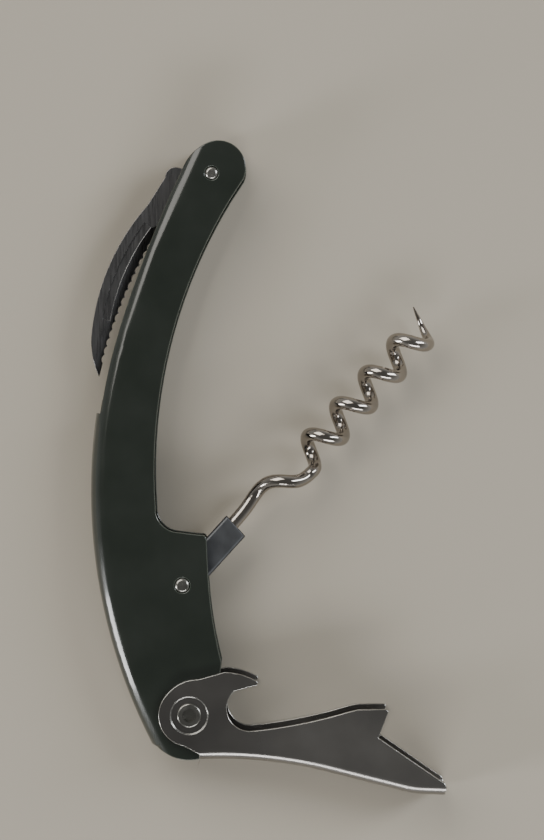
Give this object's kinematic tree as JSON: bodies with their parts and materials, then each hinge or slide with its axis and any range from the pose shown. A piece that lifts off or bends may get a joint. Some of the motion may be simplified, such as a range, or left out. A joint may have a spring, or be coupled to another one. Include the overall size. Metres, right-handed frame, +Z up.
{
  "type": "waiters corkscrew",
  "caption": "Folding corkscrew: curved channel handle with a spiral worm, a small serrated foil knife and a boot lever with a cap-lifter hook and bottle-rim foot.",
  "frame": {"origin": "on the surface the corkscrew lies on, under the middle of its outline, with the worm and lever half open", "axes": "+Z up from that surface through the handle's thickness, +Y along the handle towards the knife's pin, +X towards the side that the worm and the lever open to"},
  "size_m": [0.0632, 0.1162, 0.0128],
  "materials": {
    "enamelled_steel": "gloss stoved enamel, very dark green",
    "blade_steel": "ground and lightly polished stainless steel",
    "pin_steel": "bright turned steel",
    "washer_steel": "zinc plated steel",
    "worm_steel": "nickel plated wire, polished",
    "ferrule_steel": "blackened sheet steel, satin",
    "lever_steel": "tumbled stamped steel, satin",
    "rivet_steel": "bright semi-tubular rivet"
  },
  "bodies": {
    "handle": {"handle_channel": "enamelled_steel", "knife_pin": "pin_steel", "knife_washer_front": "washer_steel", "knife_washer_back": "washer_steel", "worm_pin": "pin_steel", "worm_washer_front": "washer_steel", "worm_washer_back": "washer_steel", "lever_rivet": "rivet_steel", "rivet_tube": "washer_steel"},
    "knife": {"knife_blade": "blade_steel"},
    "worm": {"worm": "worm_steel", "worm_carrier": "ferrule_steel"},
    "lever": {"boot_lever": "lever_steel"}
  },
  "joints": [
    {"name": "lever_fold", "type": "hinge", "parent": "handle", "child": "lever", "pos_m": [-0.01398, -0.04394, 0.0064], "axis": [0, 0, 1], "range_deg": [0, 95]},
    {"name": "worm_fold", "type": "hinge", "parent": "handle", "child": "worm", "pos_m": [-0.01523, -0.02094, 0.0064], "axis": [0, 0, 1], "range_deg": [0, 42.3]},
    {"name": "knife_swing", "type": "hinge", "parent": "handle", "child": "knife", "pos_m": [-0.01003, 0.05226, 0.0064], "axis": [0, 0, 1], "range_deg": [-172, 5]}
  ],
  "couplings": [
    {"joint": "worm_fold", "follows": "lever_fold", "ratio": 0.4451}
  ]
}
